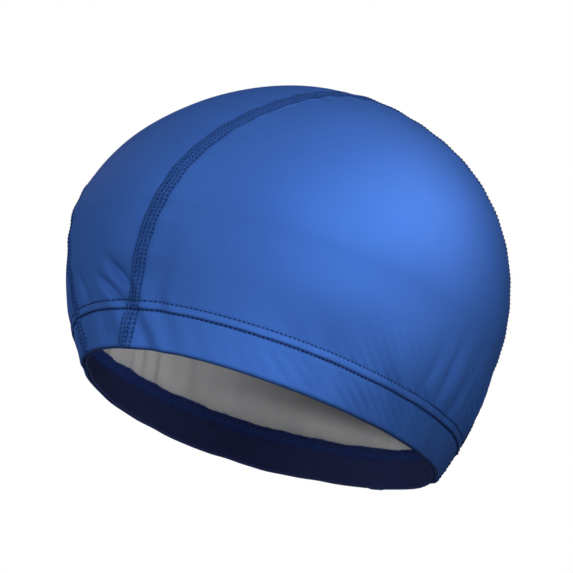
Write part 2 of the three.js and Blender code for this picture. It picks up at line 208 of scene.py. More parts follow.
class CapHem(bpy.types.PropertyGroup):
    """Turned hem, its two rows of stitching and the facing's neatened edge"""

    lower_row: length("Lower Row", "Height of the lower row of stitching", 0.0131)
    gauge: length("Gauge", "Between the two rows of stitching", 0.003)
    lift: length("Lift", "Height of the turned cloth over the single cloth", 0.00040)
    ridge: length("Ridge", "Height of the ridge between the rows, above the lower row", 0.00040)
    dip: length("Dip", "Depth of the groove along a row of stitching", 0.00045)
    dip_width: length("Dip Width", "Half width of that groove", 0.00055)
    flare: length("Flare", "How far the left front of the hem springs out", 0.0025)
    draw: length("Draw", "How far the left back of the hem is drawn in", 0.0013)
    pitch: length("Stitch Pitch", "Length of one stitch", 0.0019)
    thread: length("Thread Radius", "Radius of the hem thread", 0.00044)
    above_stitch: length("Above Stitch", "Facing edge above the upper row", 0.0026)
    overlock: length("Overlock", "Height of the neatened edge", 0.0032)
    overlock_lift: length("Overlock Lift", "Bulk of the neatened edge", 0.0006)
    overlock_pitch: length("Overlock Pitch", "Length of one overlock loop", 0.0017)
    gather_pitch: length("Gather Pitch", "Spacing of the fine gathers", 0.0068)
    gather: length("Gather Depth", "Depth of the fine gathers", 0.00026)


class CapColours(bpy.types.PropertyGroup):
    """Colours of the cloth and the threads"""

    coat: tint("Coated Face", "Outside of the cloth", (0.042, 0.128, 0.450))
    back: tint("Brushed Back", "Inside of the cloth", (0.74, 0.74, 0.75))
    facing: tint("Facing", "Knit inside the hem", (0.034, 0.045, 0.155))
    # Needle thread: its blue darkened to navy, which paints the shade of the needle holes along the seam
    # rows.
    needle_thread_and_hole_shade: tint("Seam Thread", "Needle thread of the flat seams", (0.012, 0.046, 0.19))
    cover_thread: tint("Cover Thread", "Cover thread of the flat seams", (0.034, 0.095, 0.32))
    # Hem thread: its blue darkened to navy, which paints the shade of the grooves the stitches lie in.
    hem_thread_and_groove_shade: tint("Hem Thread", "Stitching round the hem", (0.006, 0.022, 0.10))
    overlock: tint("Overlock", "Loops along the facing", (0.022, 0.05, 0.22))
    fuzz: tint("Fuzz", "Loose fibres on the overlocked edge", (0.12, 0.22, 0.55))


class CapStage(bpy.types.PropertyGroup):
    """Camera, floor and light"""

    azimuth: FloatProperty(name="Camera Azimuth", description="Round from the front to the left",
                           default=radians(55.8), subtype="ANGLE", unit="ROTATION")
    elevation: FloatProperty(name="Camera Elevation", description="Above the head opening",
                             default=radians(-5.1), subtype="ANGLE", unit="ROTATION")
    distance: length("Camera Distance", "From the head opening", 1.505)
    focal_pixels: FloatProperty(name="Focal Length", description="In widths of a picture pixel",
                                default=3720.0)
    picture: IntProperty(name="Picture", description="Width of the square picture", default=573)
    opening_x: FloatProperty(name="Opening X", description="Picture place of the head opening",
                             default=259.3)
    opening_y: FloatProperty(name="Opening Y", description="Picture place of the head opening",
                             default=423.9)
    floor_drop: length("Floor Drop", "Floor below the head opening", 0.30)


SETTINGS = {"cap_form": CapForm, "cap_seams": CapSeams, "cap_hem": CapHem,
            "cap_colours": CapColours, "cap_stage": CapStage}


# Surface of the cap

def settings(name):
    """One group of sizes or colours of the open scene."""
    return getattr(bpy.context.scene, name)


def table_value(rows, column, place):
    """Smooth curve through one column of a table: a cubic between two rows, whose slope at each row is
    that from the row before to the row after."""
    keys = np.array([row[0] for row in rows])
    values = np.array([getattr(row, column) for row in rows])
    before = np.maximum(np.arange(len(keys)) - 1, 0)
    after = np.minimum(np.arange(len(keys)) + 1, len(keys) - 1)
    slopes = (values[after] - values[before]) / (keys[after] - keys[before])
    row = np.clip(np.searchsorted(keys, place, side="left") - 1, 0, len(keys) - 2)
    span = keys[row + 1] - keys[row]
    t = (np.minimum(place, keys[row + 1]) - keys[row]) / span
    rise = values[row + 1] - values[row]
    start = slopes[row] * span
    end = slopes[row + 1] * span
    bend = 3 * rise - 2 * start - end
    twist = start + end - 2 * rise
    return values[row] + t * (start + t * (bend + t * twist))


def round_of(points):
    """Round angle of points, 0 at the front and growing towards the left."""
    return np.arctan2(points[..., 0], -points[..., 1])


def level_of(height):
    """Level of a height: linear below the widest level, and by the arc sine above it."""
    form = settings("cap_form")
    low = np.maximum(height / form.widest_height - 1, -1.1)
    rise = (height - form.widest_height) / (form.cap_height - form.widest_height)
    return np.where(height < form.widest_height, low, np.arcsin(np.clip(rise, 0, 1)) / QUARTER)


def full_reach(round_, level):
    """Reach of a section as a superellipse radius: the sum of the two shares to a power is one."""
    form = settings("cap_form")
    ahead = np.cos(round_)
    front = form.front_reach * table_value(SECTIONS, "front", level)
    back = form.back_reach * table_value(SECTIONS, "back", level)
    side = form.side_reach * table_value(SECTIONS, "side", level)
    power = table_value(SECTIONS, "squareness", level)
    lengthways = np.where(ahead > 0, front, back)
    total = np.abs(ahead / lengthways) ** power + np.abs(np.sin(round_) / side) ** power
    return total ** (-1 / power)


def heart():
    """Point inside the cap, at the widest level, from which all of its surface is seen."""
    return np.array([0.0, 0.0, settings("cap_form").widest_height])


def cap_measure(points):
    """1 on the cap, less inside it and more outside: the flat distance as a share of the section's
    reach and, above the widest level, the height as a share of the dome's, joined as in an ellipse."""
    form = settings("cap_form")
    flat = np.hypot(points[..., 0], points[..., 1])
    round_ = round_of(points)
    share = flat / full_reach(round_, level_of(points[..., 2]))
    dome = (points[..., 2] - form.widest_height) / (form.cap_height - form.widest_height)
    return np.hypot(share, np.maximum(dome, 0))


def onto_cap(points):
    """Points drawn along their rays from the heart on to the cap, by dividing by the measure."""
    centre = heart()
    for _ in range(24):
        points = centre + (points - centre) / cap_measure(points)[..., None]
    return points


def outward_at(points):
    """Unit normals: the direction in which the cap's measure grows."""
    step = 0.02 * MILLIMETRE
    change = [cap_measure(points + step * axis) - cap_measure(points - step * axis)
              for axis in np.eye(3)]
    normal = np.stack(change, -1)
    return normal / np.linalg.norm(normal, axis=-1, keepdims=True)


def reach_out(starts, directions):
    """Points where rays from inside leave the cap, by halving."""
    inside = np.zeros(starts.shape[:-1])
    outside = np.full(starts.shape[:-1], 0.3)
    for _ in range(34):
        middle = (inside + outside) / 2
        within = cap_measure(starts + middle[..., None] * directions) < 1
        inside = np.where(within, middle, inside)
        outside = np.where(within, outside, middle)
    return starts + inside[..., None] * directions


def as_worn(points):
    """Points tipped about the X axis through the head opening, front up."""
    tilt = settings("cap_form").worn_tilt
    x, y, z = np.moveaxis(points, -1, 0)
    turned = (x, y * np.cos(tilt) + z * np.sin(tilt), z * np.cos(tilt) - y * np.sin(tilt))
    return np.stack(turned, -1)


# Lines of the seams

def skirt_share():
    """Share of half the strip's length that lies below the widest level."""
    form = settings("cap_form")
    return form.widest_height / (form.widest_height + (form.cap_height - form.widest_height) * QUARTER)


def along_of(points):
    """Place along the middle strip, -1 at the front hem, 0 at the crown and 1 at the back hem."""
    form = settings("cap_form")
    low = -1 + points[..., 2] / form.widest_height * skirt_share()
    low = np.where(points[..., 1] < 0, low, -low)
    angle = np.arctan2(points[..., 2] - form.widest_height, -points[..., 1])
    high = (2 * angle / pi - 1) * (1 - skirt_share())
    return np.where(points[..., 2] < form.widest_height, low, high)


def strip_widths():
    """Half width of the middle strip from the front hem (-1) to the back hem (1)."""
    seams = settings("cap_seams")
    row = namedtuple("StripWidth", "along width")
    return (row(-1.00, seams.at_front_hem), row(-0.88, seams.above_front_hem),
            row(-0.76, seams.below_forehead), row(-0.65, seams.at_forehead),
            row(-0.37, seams.before_crown), row(0.00, seams.at_crown),
            row(0.30, seams.behind_crown), row(0.65, seams.at_nape),
            row(1.00, seams.at_back_hem))


def station_rays(along):
    """Starts and directions, in the middle plane, of the rays that meet the cap at places along the
    strip: level rays below the widest level, and a fan from the heart above it."""
    form = settings("cap_form")
    low = np.abs(along) > 1 - skirt_share()
    height = np.where(low, (1 - np.abs(along)) / skirt_share(), 1.0) * form.widest_height
    angle = np.clip(along / (1 - skirt_share()), -1, 1) * QUARTER + QUARTER
    starts = np.stack([np.zeros_like(along), np.zeros_like(along), height], -1)
    directions = np.stack([np.zeros_like(along), -np.cos(angle), np.sin(angle)], -1)
    return starts, directions


def strip_points(along, aside):
    """Cap points at places along the strip and distances from the middle plane."""
    starts, directions = station_rays(along)
    starts[..., 0] = aside
    return reach_out(starts, directions)


def seam_line(count=400):
    """Places along the left seam, evenly spaced by length, with that length, from the front hem."""
    along = np.linspace(-1, 1, 6 * count)
    points = strip_points(along, table_value(strip_widths(), "width", along))
    steps = np.linalg.norm(np.diff(points, axis=0), axis=1)
    arc = np.concatenate([[0], np.cumsum(steps)])
    even = np.linspace(0, arc[-1], count)
    return np.interp(even, arc, along), even


def seam_distance(points, outward):
    """Distance over the cloth from the nearer seam, less than nothing on the middle strip."""
    width = table_value(strip_widths(), "width", along_of(points))
    slope = np.sqrt(np.maximum(1 - outward[..., 0] ** 2, 0.05))
    return (np.abs(points[..., 0]) - width) / slope


# Folds and relief

def hump(distance, width):
    """1 in the middle, falling away over a width as a bell curve."""
    return np.exp(-((distance / width) ** 2))


def smooth_step(low, high, value):
    """0 below low, 1 above high, and a smooth rise between."""
    t = np.clip((value - low) / (high - low), 0, 1)
    return t * t * (3 - 2 * t)


def turn_between(a, b):
    """Shortest turn between two angles, in degrees."""
    return (a - b + 180) % 360 - 180


def wander(place, seed, waves):
    """Smooth wandering value between about -1 and 1 over a place: a seeded sum of slow sines."""
    random = np.random.default_rng(seed)
    total = np.zeros_like(place)
    for _ in range(4):
        total = total + np.sin(place * waves * random.uniform(0.5, 1.5) + random.uniform(0, 2 * pi))
    return total / 2.4


def fold_at(points):
    """How far the gathers and drag folds move the whole cloth, outwards being positive: bell-shaped
    ridges and hollows of the two tables, the gathers fading out above the stitching."""
    form, hem = settings("cap_form"), settings("cap_hem")
    round_ = np.degrees(round_of(points))
    reach = np.hypot(points[..., 0], points[..., 1])
    over_hem = points[..., 2] / (hem.lower_row + hem.gauge)
    fade = 1 / (1 + np.maximum(over_hem / 1.35, 0) ** 6)
    shift = np.zeros(points.shape[:-1])
    deep = form.gather_depth * form.cloth_wall
    for gather in GATHERS:
        away = np.radians(turn_between(round_, gather.at + gather.lean * (over_hem - 0.5))) * reach
        shift += gather.depth * deep * hump(away, gather.width * hem.lower_row) * fade
    for fold in DRAG_FOLDS:
        sideways = np.radians(turn_between(round_, fold.at)) * reach
        upwards = points[..., 2] - fold.height * form.widest_height
        turn = radians(fold.turn)
        lengthways = sideways * np.cos(turn) + upwards * np.sin(turn)
        crossways = upwards * np.cos(turn) - sideways * np.sin(turn)
        body = hump(lengthways, fold.length * form.widest_height)
        body = body * hump(crossways, fold.width * form.widest_height)
        shift += fold.depth * form.fold_depth * form.cloth_wall * body
    return shift


def hem_spring(points):
    """Set of the hem on the left: at the front the cloth is drawn in just above the stitching, as a bell
    curve over the height, and springs out below it; towards the back it is drawn in from the hem up."""
    form, hem = settings("cap_form"), settings("cap_hem")
    turned = np.degrees(round_of(points))
    share = points[..., 2] / form.widest_height
    front = smooth_step(-38, 5, turned) * (1 - smooth_step(78, 100, turned))
    back = smooth_step(80, 110, turned) * (1 - smooth_step(145, 175, turned))
    spring = 0.8 * (1 - smooth_step(-0.15, 0.38, share)) - hump(share - 0.36, 0.27)
    return hem.flare * spring * front - hem.draw * hump(share - 0.1, 0.46) * back


def fine_gathers(points):
    """Small waves of the cloth round the hem: a wave over the round angle that leans as it rises, more
    so towards the back, with a wandering phase. They are strongest half way up the hem, reach further
    up at the back, and nearly vanish on the right side, where the hem is drawn smooth."""
    hem = settings("cap_hem")
    round_ = round_of(points)
    reach = np.hypot(points[..., 0], points[..., 1])
    height = points[..., 2]
    back = smooth_step(radians(40), radians(105), np.abs(round_))
    lean = (0.3 + 0.9 * back) * np.sign(round_)
    upper_row = hem.lower_row + hem.gauge
    place = round_ * reach + lean * (height - 0.5 * upper_row)
    phase = 2 * pi * place / hem.gather_pitch + 1.8 * wander(round_, 11, 7.0)
    wave = np.cos(phase) * (0.6 + 0.4 * wander(round_, 12, 11.0))
    below = hump(height - hem.lower_row * 0.45, hem.lower_row * 0.42)
    above = np.where(height > upper_row, hump(height - upper_row, 0.004 + 0.018 * back), 0)
    strength = below * (0.35 + 0.65 * back) + 0.6 * above * back
    return hem.gather * wave * strength * (1 - 0.75 * smooth_step(0, radians(15), -round_))


def flutes(points):
    """Broad upright waves above the hem at the back and the right side, where the empty cloth stands
    loose: a wave over the round angle with a wandering phase, strongest just above the facing."""
    form = settings("cap_form")
    round_ = round_of(points)
    turned = np.mod(np.degrees(round_), 360)
    loose = smooth_step(100, 135, turned) * (1 - smooth_step(325, 345, turned))
    phase = round_ * 24 + 2.4 * wander(round_, 21, 5.0)
    wave = np.cos(phase) + 0.4 * np.cos(2.3 * phase + 1)
    share = points[..., 2] / form.widest_height
    fade = smooth_step(0.26, 0.40, share) * (1 - smooth_step(0.5, 1.15, share))
    return 0.55 * form.cloth_wall * wave * loose * fade


def lining_folds(points):
    """How far the brushed back stands in as soft upright folds above the facing, at the back and the
    right side: half a wave over the round angle with a wandering phase, fading out towards the dome."""
    round_ = round_of(points)
    turned = np.mod(np.degrees(round_), 360)
    loose = smooth_step(120, 160, turned) * (1 - smooth_step(290, 335, turned))
    phase = round_ * 20 + 2.0 * wander(round_, 41, 5.0)
    wave = 0.6 + 0.4 * np.cos(phase) + 0.25 * np.cos(2.3 * phase + 1)
    share = points[..., 2] / settings("cap_form").widest_height
    fade = smooth_step(0.34, 0.5, share) * (1 - smooth_step(0.55, 1.5, share))
    return LINING_FOLD * wave * loose * fade


def seam_pucker(points, outward, arcs):
    """Scallops beside a seam: a wave along the seam that dies away from it, deepest at the front."""
    seams = settings("cap_seams")
    aside = np.abs(seam_distance(points, outward))
    arc = np.interp(along_of(points), *arcs)
    depth = seams.pucker * (1 - 0.6 * smooth_step(-0.2, 0.3, along_of(points)))
    wave = np.cos(2 * pi * arc / seams.pucker_pitch + 1.3 * wander(arc * 60, 31, 1.0))
    return depth * wave * hump(np.maximum(aside - seams.half_width, 0), 0.007)


def whole_cloth(points, outward, arcs):
    """Everything that moves the outside and the inside of the cloth together."""
    return (fold_at(points) + hem_spring(points) + fine_gathers(points) + flutes(points)
            + seam_pucker(points, outward, arcs))


def outside_raise(points, outward):
    """Height of the outside over the smooth cloth: the turned hem with a groove along each row of
    stitching and a ridge between them that is highest at the lower row, the flat seam with a dip
    beside its edge and a groove along each of its two rows away from the middle strip, and the rounded
    hem edge."""
    seams, hem = settings("cap_seams"), settings("cap_hem")
    height = points[..., 2]
    upper_row = hem.lower_row + hem.gauge
    lift = hem.lift * (1 - smooth_step(upper_row - 0.0003, upper_row + 0.0006, height))
    slope = np.clip((upper_row - height) / hem.gauge, 0, 1)
    lift += hem.ridge * slope * smooth_step(hem.lower_row - 0.0004, hem.lower_row + 0.0005, height)
    lift -= hem.dip * hump(height - hem.lower_row, hem.dip_width)
    lift -= 0.5 * hem.dip * hump(height - upper_row, hem.dip_width * 0.8)
    aside = np.abs(seam_distance(points, outward))
    lift += seams.lift * (1 - smooth_step(seams.half_width, seams.half_width + seams.edge, aside))
    lift -= 0.4 * seams.lift * hump(aside - seams.half_width - seams.edge, 0.0006)
    for row in SEAM_ROWS[2:]:
        lift -= 0.45 * seams.lift * hump(aside - row.aside * seams.half_width, 0.00035)
    edge = np.clip(1 - height / HEM_ROLL, 0, 1)
    return lift - HEM_ROLL_DEPTH * (1 - np.sqrt(np.maximum(1 - edge ** 2, 0)))


def hem_reach():
    """Mean reach of the cap along the hem stitching."""
    form = settings("cap_form")
    level = settings("cap_hem").lower_row / form.widest_height - 1
    return float(np.mean(full_reach(np.linspace(0, 2 * pi, 360), level)))


def place_cloth(points, outward, offset):
    """Cap points moved out by an offset, lifted by the hem's wave, and tipped as worn."""
    form = settings("cap_form")
    moved = points + outward * offset[..., None]
    low = np.maximum(1 - points[..., 2] / form.widest_height, 0)
    round_ = round_of(points)
    back = np.maximum(-np.cos(round_), 0) ** 4
    moved[..., 2] += (form.hem_wave * np.cos(2 * round_) + form.back_rise * back) * low
    return as_worn(moved)


# Grids and meshes

def graded(total, low, high, fine, coarse):
    """Shares from 0 to 1 of a length, finely spaced in a stretch at each end and coarsely between."""
    def stretch(start, end, step):
        return np.linspace(start, end, max(int(np.ceil((end - start) / step)), 1) + 1)
    parts = (stretch(0, low, fine), stretch(low, total - high, coarse)[1:-1],
             stretch(total - high, total, fine))
    return np.concatenate(parts) / total


def grid_faces(rows, columns, wrap_rows=False, wrap_columns=False):
    """Quads of a grid of rows by columns, as rows of four vertex numbers."""
    row = np.arange(rows if wrap_rows else rows - 1)
    column = np.arange(columns if wrap_columns else columns - 1)
    row, column = (axis.ravel() for axis in np.meshgrid(row, column, indexing="ij"))
    next_row = (row + 1) % rows
    next_column = (column + 1) % columns
    return np.stack([row * columns + column, row * columns + next_column,
                     next_row * columns + next_column, next_row * columns + column], -1)


def make_piece(name, points, faces, materials, which=None, maps=None):
    """A mesh object of arrays: it rides on the body, is smooth, and has its doubled points joined."""
    if not len(faces) or not np.isfinite(points).all():
        raise ValueError(f"{name} has no surface at these sizes")
    mesh = bpy.data.meshes.new(name)
    mesh.vertices.add(len(points))
    mesh.vertices.foreach_set("co", points.astype(np.float32).ravel())
    mesh.loops.add(faces.size)
    mesh.loops.foreach_set("vertex_index", faces.astype(np.int32).ravel())
    mesh.polygons.add(len(faces))
    mesh.polygons.foreach_set("loop_start", np.arange(0, faces.size, 4, dtype=np.int32))
    if which is not None:
        mesh.polygons.foreach_set("material_index", which.astype(np.int32))
    for title, values in (maps or {}).items():
        layer = mesh.uv_layers.new(name=title)
        layer.data.foreach_set("uv", values[faces.ravel()].astype(np.float32).ravel())
    mesh.update(calc_edges=True)
    join_doubles(mesh)
    mesh.shade_smooth()
    mesh.set_sharp_from_angle(angle=radians(62))
    for material in materials:
        mesh.materials.append(material)
    piece = bpy.data.objects.new(name, mesh)
    bpy.context.scene.collection.objects.link(piece)
    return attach(piece, BODY)


def join_doubles(mesh):
    """Joins points that lie on each other, which closes the ends of shells and threads."""
    work = bmesh.new()
    work.from_mesh(mesh)
    bmesh.ops.remove_doubles(work, verts=work.verts, dist=0.001 * MILLIMETRE)
    work.to_mesh(mesh)
    work.free()


def lip(outer, inner, steps):
    """Offsets and drops of a rounded edge that runs from the inner face to the outer: half a circle
    as wide as the cloth is thick."""
    turn = np.linspace(pi, 0, steps + 2)[1:-1, None]
    middle = (outer + inner) / 2
    half = (outer - inner) / 2
    return middle + half * np.cos(turn), half * np.sin(turn)


def closing(outer, inner, steps):
    """Offsets of the outer and the inner face, and drops, over a rounded end: from the middle of the
    cloth, where both meet, back to its full thickness."""
    turn = np.linspace(QUARTER, 0, steps + 1)[:-1, None]
    middle, half = (outer + inner) / 2, (outer - inner) / 2
    return middle + half * np.cos(turn), middle - half * np.cos(turn), half * np.sin(turn)


def dropped(points, drop):
    """Points let down by a drop."""
    lowered = points.copy()
    lowered[..., 2] -= drop
    return lowered


def trim_map(points, outward):
    """Distance from the seam and height above the hem, both in millimetres."""
    return np.stack([np.abs(seam_distance(points, outward)), points[..., 2]], -1) / MILLIMETRE


# Panels of cloth

def hem_heights(coarse, fine):
    """Heights of the rows over the hem: evenly spaced, and finely where the stitching runs."""
    hem = settings("cap_hem")
    low, high = hem.lower_row - 0.0009, hem.lower_row + hem.gauge + 0.0011
    stops = ((0, low, coarse), (low, high, fine), (high, HEM_ZONE, coarse))
    return np.concatenate([np.linspace(a, b, int(np.ceil((b - a) / step)), endpoint=False)
                           for a, b, step in stops])


def side_grid(columns, heights, rows, hand):
    """Cap points of a side panel, rows by columns. Up to the top of the hem zone the rows keep their
    heights between the front and the back seam; above it, straight lines run from even places along
    that zone to places along the seam, drawn on to the cap. hand is 1 on the left, -1 on the right."""
    form = settings("cap_form")
    ends = []
    for side in (-1, 1):
        along = side * (1 - heights / form.widest_height * skirt_share())
        foot = strip_points(along, table_value(strip_widths(), "width", along) + SEAM_GAP)
        ends.append(round_of(foot)[:, None])
    zone = ends[0] + (ends[1] - ends[0]) * columns
    low = hem_points(zone, heights[:, None] + 0 * zone)
    along, arc = seam_line()
    start = 1 - HEM_ZONE / form.widest_height * skirt_share()
    arc_ends = np.interp([-start, start], along, arc)
    along = np.interp(arc_ends[0] + columns * (arc_ends[1] - arc_ends[0]), arc, along)
    top = strip_points(along, table_value(strip_widths(), "width", along) + SEAM_GAP)
    round_ends = round_of(top[[0, -1]])
    round_ = round_ends[0] + (round_ends[1] - round_ends[0]) * columns
    foot = hem_points(round_, np.full_like(round_, HEM_ZONE))
    middle = len(columns) // 2
    dense = np.linspace(0, 1, 200)[:, None]
    line = onto_cap(foot[middle] + dense * (top[middle] - foot[middle]))
    arc = np.concatenate([[0], np.cumsum(np.linalg.norm(np.diff(line, axis=0), axis=1))])
    share = np.interp(rows * arc[-1], arc, dense[:, 0])[:, None, None]
    grid = np.concatenate([low, onto_cap(foot + share * (top - foot))])
    if hand < 0:
        grid = grid[:, ::-1] * np.array([-1.0, 1.0, 1.0])
    return grid


def hem_points(round_, height):
    """Cap points at round angles and heights."""
    reach = full_reach(round_, level_of(height))
    return np.stack([reach * np.sin(round_), -reach * np.cos(round_), height], -1)


def make_side_panel(name, hand, materials):
    """A side panel as a closed shell: a ring of rows that climbs the outside from the hem to the seam,
    comes down the inside and turns the hem, and whose first and last columns close on a point."""
    form = settings("cap_form")
    arcs = seam_line()
    columns = graded(PANEL_LENGTH, 0.0042, 0.0042, 0.00034, 0.00057)
    up_hem, down_hem = hem_heights(0.00072, 0.00022), hem_heights(0.0026, 0.0026)
    up = graded(PANEL_RISE, 0.0, 0.0055, 0.0004, 0.00125)
    down = graded(PANEL_RISE, 0.0, 0.0, 0.0026, 0.0026)
    outer = side_grid(columns, up_hem, up, hand)
    inner = side_grid(columns, down_hem, down, hand)[::-1]
    out_normal, in_normal = outward_at(outer), outward_at(inner)
    out_cloth, in_cloth = whole_cloth(outer, out_normal, arcs), whole_cloth(inner, in_normal, arcs)
    in_offset = in_cloth - form.cloth_wall - lining_folds(inner)
    out_offset = out_cloth + outside_raise(outer, out_normal)
    edge_offset, edge_drop = lip(out_offset[:1], in_offset[-1:], LIP_STEPS)
    edge = np.repeat(outer[:1], LIP_STEPS, axis=0)
    base = np.concatenate([outer, inner, edge])
    normal = np.concatenate([out_normal, in_normal, np.repeat(out_normal[:1], LIP_STEPS, axis=0)])
    offset = np.concatenate([out_offset, in_offset, edge_offset])
    drop = np.zeros(offset.shape)
    drop[-LIP_STEPS:] = edge_drop
    core = np.concatenate([out_cloth, in_cloth, np.repeat(out_cloth[:1], LIP_STEPS, axis=0)])
    for end in (0, -1):
        offset[:, end] = core[:, end] - form.cloth_wall / 2
        drop[:, end] = 0
    points = place_cloth(dropped(base, drop), normal, offset)
    faces = grid_faces(*offset.shape, wrap_rows=True)
    row = faces[:, 0] // offset.shape[1]
    which = (row >= len(outer)) & (row < len(outer) + len(inner) - 2)
    trim = trim_map(base, normal)
    climb = [np.concatenate([zone, HEM_ZONE + rows * PANEL_RISE]) / MILLIMETRE
             for zone, rows in ((up_hem, up), (down_hem, down))]
    climb = np.concatenate([climb[0], climb[1][::-1], np.zeros(LIP_STEPS)])
    weave = np.stack(np.meshgrid(columns * PANEL_LENGTH / MILLIMETRE, climb), -1)
    return make_piece(name, points.reshape(-1, 3), faces, materials, which,
                      {"trim": trim.reshape(-1, 2), "weave": weave.reshape(-1, 2)})


def make_center_panel(name, materials):
    """The middle strip as a closed shell: at each place along it a ring goes across the outside and
    back across the inside, and the rings at both hems close as a rounded edge."""
    form = settings("cap_form")
    arcs = seam_line()
    near = -1 + hem_heights(0.00072, 0.00022) / form.widest_height * skirt_share()
    start, end = np.interp([near[-1] + 0.001, -near[-1] - 0.001], *arcs)
    length_ = np.concatenate([np.interp(near, *arcs), np.linspace(start, end, 640),
                              np.interp(-near[::-1], *arcs)])
    along = np.interp(length_, arcs[1], arcs[0])
    across = 2 * graded(STRIP_WIDTH, 0.0058, 0.0058, 0.00042, 0.0021) - 1
    width = table_value(strip_widths(), "width", along)[:, None] - SEAM_GAP
    along_grid = np.repeat(along[:, None], len(across), axis=1)
    base = strip_points(along_grid, width * across)
    normal = outward_at(base)
    cloth = whole_cloth(base, normal, arcs)
    outer = cloth + outside_raise(base, normal)
    inner = cloth - form.cloth_wall - lining_folds(base)
    first = closing(outer[:1], inner[:1], LIP_STEPS)
    last = closing(outer[-1:], inner[-1:], LIP_STEPS)
    outer, inner, drop = (np.concatenate([start, body, stop[::-1]]) for start, body, stop in
                          zip(first, (outer, inner, np.zeros(cloth.shape)), last))
    base, normal = (np.concatenate([np.repeat(rows[:1], LIP_STEPS, axis=0), rows,
                                    np.repeat(rows[-1:], LIP_STEPS, axis=0)])
                    for rows in (base, normal))
    base = dropped(base, drop)
    outside = place_cloth(base, normal, outer)
    inside = place_cloth(base, normal, inner)
    points = np.concatenate([outside, inside[:, ::-1]], axis=1)
    faces = grid_faces(*points.shape[:2], wrap_columns=True)[:, ::-1]
    row, column = np.divmod(faces[:, 3], points.shape[1])
    which = (column >= len(across)) & (column < 2 * len(across) - 1)
    which &= (row > 2 * LIP_STEPS) & (row < len(points) - 2 * LIP_STEPS - 1)
    trim = trim_map(base, normal)
    trim = np.concatenate([trim, trim[:, ::-1]], axis=1)
    climb = np.concatenate([np.zeros(LIP_STEPS), length_, np.full(LIP_STEPS, length_[-1])]) / MILLIMETRE
    crosswise = np.concatenate([across, across[::-1]]) * STRIP_WIDTH / 2
    weave = np.stack(np.meshgrid(crosswise / MILLIMETRE, climb), -1)
    return make_piece(name, points.reshape(-1, 3), faces, materials, which,
                      {"trim": trim.reshape(-1, 2), "weave": weave.reshape(-1, 2)})


# Facing inside the hem

def facing_top():
    """Height of the facing's upper edge."""
    hem = settings("cap_hem")
    return hem.lower_row + hem.gauge + hem.above_stitch


def facing_offsets(points, outward, arcs):
    """Offsets of the facing's two faces: behind the cloth by the gap, and thicker by the neatened edge
    at the top, where the loops also pinch it into small waves."""
    form, hem = settings("cap_form"), settings("cap_hem")
    back = whole_cloth(points, outward, arcs) - form.cloth_wall - form.piece_gap
    round_ = round_of(points)
    below_top = facing_top() - points[..., 2]
    bulk = hem.overlock_lift * (1 - smooth_step(hem.overlock * 0.9, hem.overlock * 1.2, below_top))
    pinch = 0.06 * bulk * np.cos(round_ * overlock_count() / 2)
    groove = 0.25 * MILLIMETRE * (hump(points[..., 2] - hem.lower_row, hem.dip_width)
                                  + hump(points[..., 2] - hem.lower_row - hem.gauge, hem.dip_width))
    return back, back - form.band_wall - bulk - pinch + groove


def overlock_count():
    """Number of overlock loops round the facing."""
    return int(2 * pi * hem_reach() / settings("cap_hem").overlock_pitch)


def make_facing(name, material):
    """The facing as a closed ring: rows climb its back, turn over the upper edge, come down the side
    that shows and turn the lower edge."""
    rows, turns = FACING_BACK_ROWS, FACING_LIP_STEPS
    climb = np.concatenate([np.linspace(FACING_LOW, facing_top(), rows),
                            np.linspace(facing_top(), FACING_LOW, FACING_FACE_ROWS)])
    round_ = np.linspace(-pi, pi, FACING_COLUMNS, endpoint=False)
    height, round_ = np.meshgrid(climb, round_, indexing="ij")
    base = hem_points(round_, height)
    normal = outward_at(base)
    back, front = facing_offsets(base, normal, seam_line())
    over, over_drop = lip(front[rows:rows + 1], back[rows - 1:rows], turns)
    under, under_drop = lip(back[:1], front[-1:], turns)
    offset = np.concatenate([back[:rows], over[::-1], front[rows:], under[::-1]])
    top_edge = dropped(np.repeat(base[rows - 1:rows], turns, axis=0), over_drop[::-1])
    low_edge = dropped(np.repeat(base[:1], turns, axis=0), -under_drop[::-1])
    base = np.concatenate([base[:rows], top_edge, base[rows:], low_edge])
    normal = np.concatenate([normal[:rows], np.repeat(normal[rows - 1:rows], turns, axis=0),
                             normal[rows:], np.repeat(normal[:1], turns, axis=0)])
    points = place_cloth(base, normal, offset)
    faces = grid_faces(*offset.shape, wrap_rows=True, wrap_columns=True)
    around = round_of(base) * hem_reach() / MILLIMETRE
    weave = np.stack([around, base[..., 2] / MILLIMETRE], -1)
    return make_piece(name, points.reshape(-1, 3), faces, [material],
                      maps={"trim": weave.reshape(-1, 2), "weave": weave.reshape(-1, 2)})


# Threads

def on_cloth(base, lift_):
    """Cap points placed on the outside of the cloth at a lift, with their normals, as worn."""
    arcs = seam_line()
    normal = outward_at(base)
    offset = whole_cloth(base, normal, arcs) + outside_raise(base, normal) + lift_
    return place_cloth(base, normal, offset), as_worn(normal)


def on_seam(arc, aside, lift_, hand):
    """Worn points at lengths along a seam and distances to its side, with their normals."""
    arcs = seam_line()
    along = np.interp(arc, arcs[1], arcs[0])
    width = table_value(strip_widths(), "width", along)
    normal = outward_at(strip_points(along, width))
    slope = np.sqrt(1 - normal[..., 0] ** 2)
    base = strip_points(along, width + aside * slope)
    return on_cloth(base * np.array([hand, 1.0, 1.0]), lift_)


